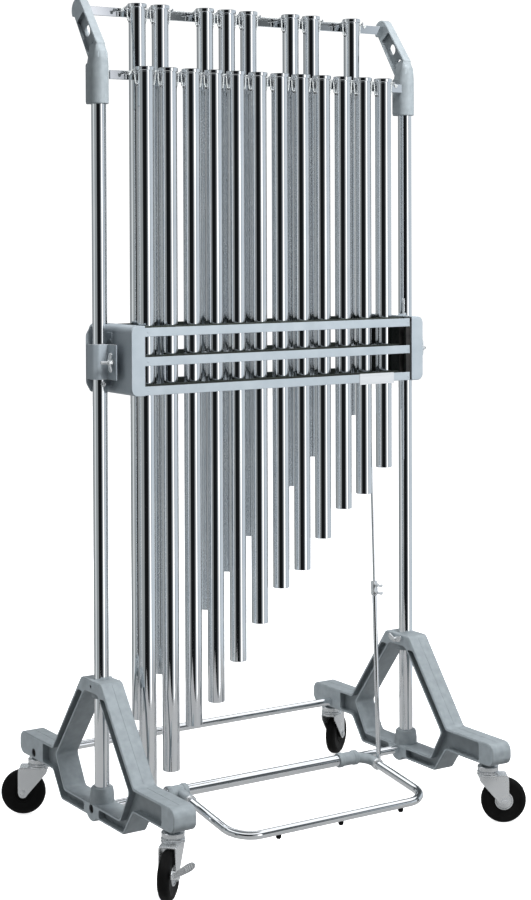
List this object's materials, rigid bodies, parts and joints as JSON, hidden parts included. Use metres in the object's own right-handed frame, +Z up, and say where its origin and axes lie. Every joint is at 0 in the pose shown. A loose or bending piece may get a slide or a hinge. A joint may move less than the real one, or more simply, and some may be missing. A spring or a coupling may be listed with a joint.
{
  "type": "tubular bells",
  "caption": "Orchestral tubular bells: two rows of chromed tubes hung on a wheeled stand, with a foot pedal that lifts the dampers.",
  "frame": {"origin": "on the floor, under the middle of the bounding box", "axes": "+X to the player's right along the rows of bells, +Y from the player to the rear, +Z up"},
  "size_m": [0.9991, 0.768, 1.861],
  "materials": {
    "chrome": "mirror chrome plate",
    "cast_aluminium": "fine blasted casting",
    "sheet_paint": "satin silver blue",
    "zinc": "bright zinc plate",
    "wheel_rubber": "smooth black rubber",
    "felt": "dense wool felt",
    "cord": "braided nylon cord"
  },
  "bodies": {
    "frame": {"front_rail": "chrome", "front_cord": "cord", "rear_rail": "chrome", "rear_cord": "cord", "left_end_casting": "cast_aluminium", "right_end_casting": "cast_aluminium", "left_top_bracket": "cast_aluminium", "right_top_bracket": "cast_aluminium", "left_post": "chrome", "right_post": "chrome", "rear_cross_bar": "chrome", "pedal_axle": "chrome", "front_grille": "sheet_paint", "rear_grille": "sheet_paint", "left_box_end": "sheet_paint", "right_box_end": "sheet_paint", "left_post_clamp": "sheet_paint", "right_post_clamp": "sheet_paint"},
    "bell_c5": {"bell_c5": "chrome"},
    "bell_d5": {"bell_d5": "chrome"},
    "bell_e5": {"bell_e5": "chrome"},
    "bell_f5": {"bell_f5": "chrome"},
    "bell_g5": {"bell_g5": "chrome"},
    "bell_a5": {"bell_a5": "chrome"},
    "bell_b5": {"bell_b5": "chrome"},
    "bell_c6": {"bell_c6": "chrome"},
    "bell_d6": {"bell_d6": "chrome"},
    "bell_e6": {"bell_e6": "chrome"},
    "bell_f6": {"bell_f6": "chrome"},
    "bell_g6": {"bell_g6": "chrome"},
    "bell_cs5": {"bell_cs5": "chrome"},
    "bell_ds5": {"bell_ds5": "chrome"},
    "bell_fs5": {"bell_fs5": "chrome"},
    "bell_gs5": {"bell_gs5": "chrome"},
    "bell_as5": {"bell_as5": "chrome"},
    "bell_cs6": {"bell_cs6": "chrome"},
    "bell_ds6": {"bell_ds6": "chrome"},
    "bell_fs6": {"bell_fs6": "chrome"},
    "pedal": {"pedal_sleeve": "cast_aluminium", "pedal_loop": "chrome"},
    "link": {"link_lower_tube": "chrome", "link_upper_rod": "chrome", "link_clamp": "zinc"},
    "damper_shaft": {"damper_shaft": "zinc"},
    "front_damper": {"front_damper": "felt"},
    "rear_damper": {"rear_damper": "felt"},
    "front_left_fork": {"front_left_caster_fork": "zinc"},
    "front_left_wheel": {"front_left_caster_wheel": "wheel_rubber"},
    "front_left_brake": {"front_left_caster_brake": "zinc"},
    "front_right_fork": {"front_right_caster_fork": "zinc"},
    "front_right_wheel": {"front_right_caster_wheel": "wheel_rubber"},
    "front_right_brake": {"front_right_caster_brake": "zinc"},
    "rear_left_fork": {"rear_left_caster_fork": "zinc"},
    "rear_left_wheel": {"rear_left_caster_wheel": "wheel_rubber"},
    "rear_right_fork": {"rear_right_caster_fork": "zinc"},
    "rear_right_wheel": {"rear_right_caster_wheel": "wheel_rubber"},
    "left_post_screw": {"left_post_screw": "zinc"},
    "left_clamp_nut": {"left_clamp_nut": "zinc"},
    "right_post_screw": {"right_post_screw": "zinc"},
    "right_clamp_nut": {"right_clamp_nut": "zinc"}
  },
  "joints": [
    {"name": "bell_c5_swing", "type": "hinge", "parent": "frame", "child": "bell_c5", "pos_m": [-0.32957, -0.02682, 1.667], "axis": [1, 0, 0], "range_deg": [0, 0.3]},
    {"name": "bell_d5_swing", "type": "hinge", "parent": "frame", "child": "bell_d5", "pos_m": [-0.27122, -0.02682, 1.667], "axis": [1, 0, 0], "range_deg": [0, 0.9]},
    {"name": "bell_e5_swing", "type": "hinge", "parent": "frame", "child": "bell_e5", "pos_m": [-0.21287, -0.02682, 1.667], "axis": [1, 0, 0], "range_deg": [0, 0.9]},
    {"name": "bell_f5_swing", "type": "hinge", "parent": "frame", "child": "bell_f5", "pos_m": [-0.15452, -0.02682, 1.667], "axis": [1, 0, 0], "range_deg": [0, 0.9]},
    {"name": "bell_g5_swing", "type": "hinge", "parent": "frame", "child": "bell_g5", "pos_m": [-0.09617, -0.02682, 1.667], "axis": [1, 0, 0], "range_deg": [0, 0.9]},
    {"name": "bell_a5_swing", "type": "hinge", "parent": "frame", "child": "bell_a5", "pos_m": [-0.03782, -0.02682, 1.667], "axis": [1, 0, 0], "range_deg": [0, 0.9]},
    {"name": "bell_b5_swing", "type": "hinge", "parent": "frame", "child": "bell_b5", "pos_m": [0.02053, -0.02682, 1.667], "axis": [1, 0, 0], "range_deg": [0, 0.9]},
    {"name": "bell_c6_swing", "type": "hinge", "parent": "frame", "child": "bell_c6", "pos_m": [0.07888, -0.02682, 1.667], "axis": [1, 0, 0], "range_deg": [0, 0.9]},
    {"name": "bell_d6_swing", "type": "hinge", "parent": "frame", "child": "bell_d6", "pos_m": [0.13723, -0.02682, 1.667], "axis": [1, 0, 0], "range_deg": [0, 0.9]},
    {"name": "bell_e6_swing", "type": "hinge", "parent": "frame", "child": "bell_e6", "pos_m": [0.19558, -0.02682, 1.667], "axis": [1, 0, 0], "range_deg": [0, 0.9]},
    {"name": "bell_f6_swing", "type": "hinge", "parent": "frame", "child": "bell_f6", "pos_m": [0.25393, -0.02682, 1.667], "axis": [1, 0, 0], "range_deg": [0, 0.9]},
    {"name": "bell_g6_swing", "type": "hinge", "parent": "frame", "child": "bell_g6", "pos_m": [0.31228, -0.02682, 1.667], "axis": [1, 0, 0], "range_deg": [0, 0.9]},
    {"name": "bell_cs5_swing", "type": "hinge", "parent": "frame", "child": "bell_cs5", "pos_m": [-0.30039, 0.05958, 1.814], "axis": [1, 0, 0], "range_deg": [-0.9, 0]},
    {"name": "bell_ds5_swing", "type": "hinge", "parent": "frame", "child": "bell_ds5", "pos_m": [-0.24204, 0.05958, 1.814], "axis": [1, 0, 0], "range_deg": [-0.9, 0]},
    {"name": "bell_fs5_swing", "type": "hinge", "parent": "frame", "child": "bell_fs5", "pos_m": [-0.12534, 0.05958, 1.814], "axis": [1, 0, 0], "range_deg": [-0.9, 0]},
    {"name": "bell_gs5_swing", "type": "hinge", "parent": "frame", "child": "bell_gs5", "pos_m": [-0.06699, 0.05958, 1.814], "axis": [1, 0, 0], "range_deg": [-0.9, 0]},
    {"name": "bell_as5_swing", "type": "hinge", "parent": "frame", "child": "bell_as5", "pos_m": [-0.00864, 0.05958, 1.814], "axis": [1, 0, 0], "range_deg": [-0.9, 0]},
    {"name": "bell_cs6_swing", "type": "hinge", "parent": "frame", "child": "bell_cs6", "pos_m": [0.10806, 0.05958, 1.814], "axis": [1, 0, 0], "range_deg": [-0.9, 0]},
    {"name": "bell_ds6_swing", "type": "hinge", "parent": "frame", "child": "bell_ds6", "pos_m": [0.16641, 0.05958, 1.814], "axis": [1, 0, 0], "range_deg": [-0.9, 0]},
    {"name": "bell_fs6_swing", "type": "hinge", "parent": "frame", "child": "bell_fs6", "pos_m": [0.28311, 0.05958, 1.814], "axis": [1, 0, 0], "range_deg": [-0.9, 0]},
    {"name": "pedal_press", "type": "hinge", "parent": "frame", "child": "pedal", "pos_m": [-0.00864, 0.01158, 0.098], "axis": [1, 0, 0], "range_deg": [0, 10], "stiffness_Nm_per_rad": 14, "springref_deg": -20.05},
    {"name": "link_pivot", "type": "hinge", "parent": "pedal", "child": "link", "pos_m": [0.29836, -0.02242, 0.084], "axis": [1, 0, 0], "range_deg": [-10, 0]},
    {"name": "shaft_turn", "type": "hinge", "parent": "frame", "child": "damper_shaft", "pos_m": [-0.00864, 0.01518, 1.07], "axis": [1, 0, 0], "range_deg": [-24, 0]},
    {"name": "front_damper_slide", "type": "slide", "parent": "frame", "child": "front_damper", "axis": [0, -1, 0], "range_m": [0, 0.0082]},
    {"name": "rear_damper_slide", "type": "slide", "parent": "frame", "child": "rear_damper", "axis": [0, 1, 0], "range_m": [0, 0.0082]},
    {"name": "front_left_swivel", "type": "hinge", "parent": "frame", "child": "front_left_fork", "pos_m": [-0.42264, -0.29642, 0], "axis": [0, 0, 1], "continuous": true},
    {"name": "front_left_wheel_spin", "type": "hinge", "parent": "front_left_fork", "child": "front_left_wheel", "pos_m": [-0.44761, -0.32095, 0.0514], "axis": [0.7009, -0.7133, 0], "continuous": true},
    {"name": "front_left_brake_press", "type": "hinge", "parent": "front_left_fork", "child": "front_left_brake", "pos_m": [-0.44761, -0.32095, 0.0514], "axis": [0.7009, -0.7133, 0], "range_deg": [0, 40]},
    {"name": "front_right_swivel", "type": "hinge", "parent": "frame", "child": "front_right_fork", "pos_m": [0.40536, -0.29642, 0], "axis": [0, 0, 1], "continuous": true},
    {"name": "front_right_wheel_spin", "type": "hinge", "parent": "front_right_fork", "child": "front_right_wheel", "pos_m": [0.43481, -0.31533, 0.0514], "axis": [0.5402, 0.8415, 0], "continuous": true},
    {"name": "front_right_brake_press", "type": "hinge", "parent": "front_right_fork", "child": "front_right_brake", "pos_m": [0.43481, -0.31533, 0.0514], "axis": [0.5402, 0.8415, 0], "range_deg": [-40, 0]},
    {"name": "rear_left_swivel", "type": "hinge", "parent": "frame", "child": "rear_left_fork", "pos_m": [-0.42264, 0.32758, 0], "axis": [0, 0, 1], "continuous": true},
    {"name": "rear_left_wheel_spin", "type": "hinge", "parent": "rear_left_fork", "child": "rear_left_wheel", "pos_m": [-0.4521, 0.34649, 0.0514], "axis": [-0.5402, -0.8415, 0], "continuous": true},
    {"name": "rear_right_swivel", "type": "hinge", "parent": "frame", "child": "rear_right_fork", "pos_m": [0.40536, 0.32758, 0], "axis": [0, 0, 1], "continuous": true},
    {"name": "rear_right_wheel_spin", "type": "hinge", "parent": "rear_right_fork", "child": "rear_right_wheel", "pos_m": [0.43437, 0.34715, 0.0514], "axis": [-0.5592, 0.829, 0], "continuous": true},
    {"name": "left_post_screw_turn", "type": "hinge", "parent": "frame", "child": "left_post_screw", "pos_m": [-0.38964, 0.01158, 0.364], "axis": [1, 0, 0], "continuous": true},
    {"name": "left_clamp_nut_turn", "type": "hinge", "parent": "frame", "child": "left_clamp_nut", "pos_m": [-0.42234, -0.03142, 1.068], "axis": [-1, 0, 0], "continuous": true},
    {"name": "right_post_screw_turn", "type": "hinge", "parent": "frame", "child": "right_post_screw", "pos_m": [0.37236, 0.01158, 0.364], "axis": [-1, 0, 0], "continuous": true},
    {"name": "right_clamp_nut_turn", "type": "hinge", "parent": "frame", "child": "right_clamp_nut", "pos_m": [0.42436, -0.03142, 1.068], "axis": [1, 0, 0], "continuous": true}
  ],
  "couplings": [
    {"joint": "link_pivot", "follows": "pedal_press", "ratio": -0.975},
    {"joint": "shaft_turn", "follows": "pedal_press", "ratio": -2.39},
    {"joint": "front_damper_slide", "follows": "pedal_press", "m_per_rad": 0.0458},
    {"joint": "rear_damper_slide", "follows": "pedal_press", "m_per_rad": 0.0458}
  ]
}
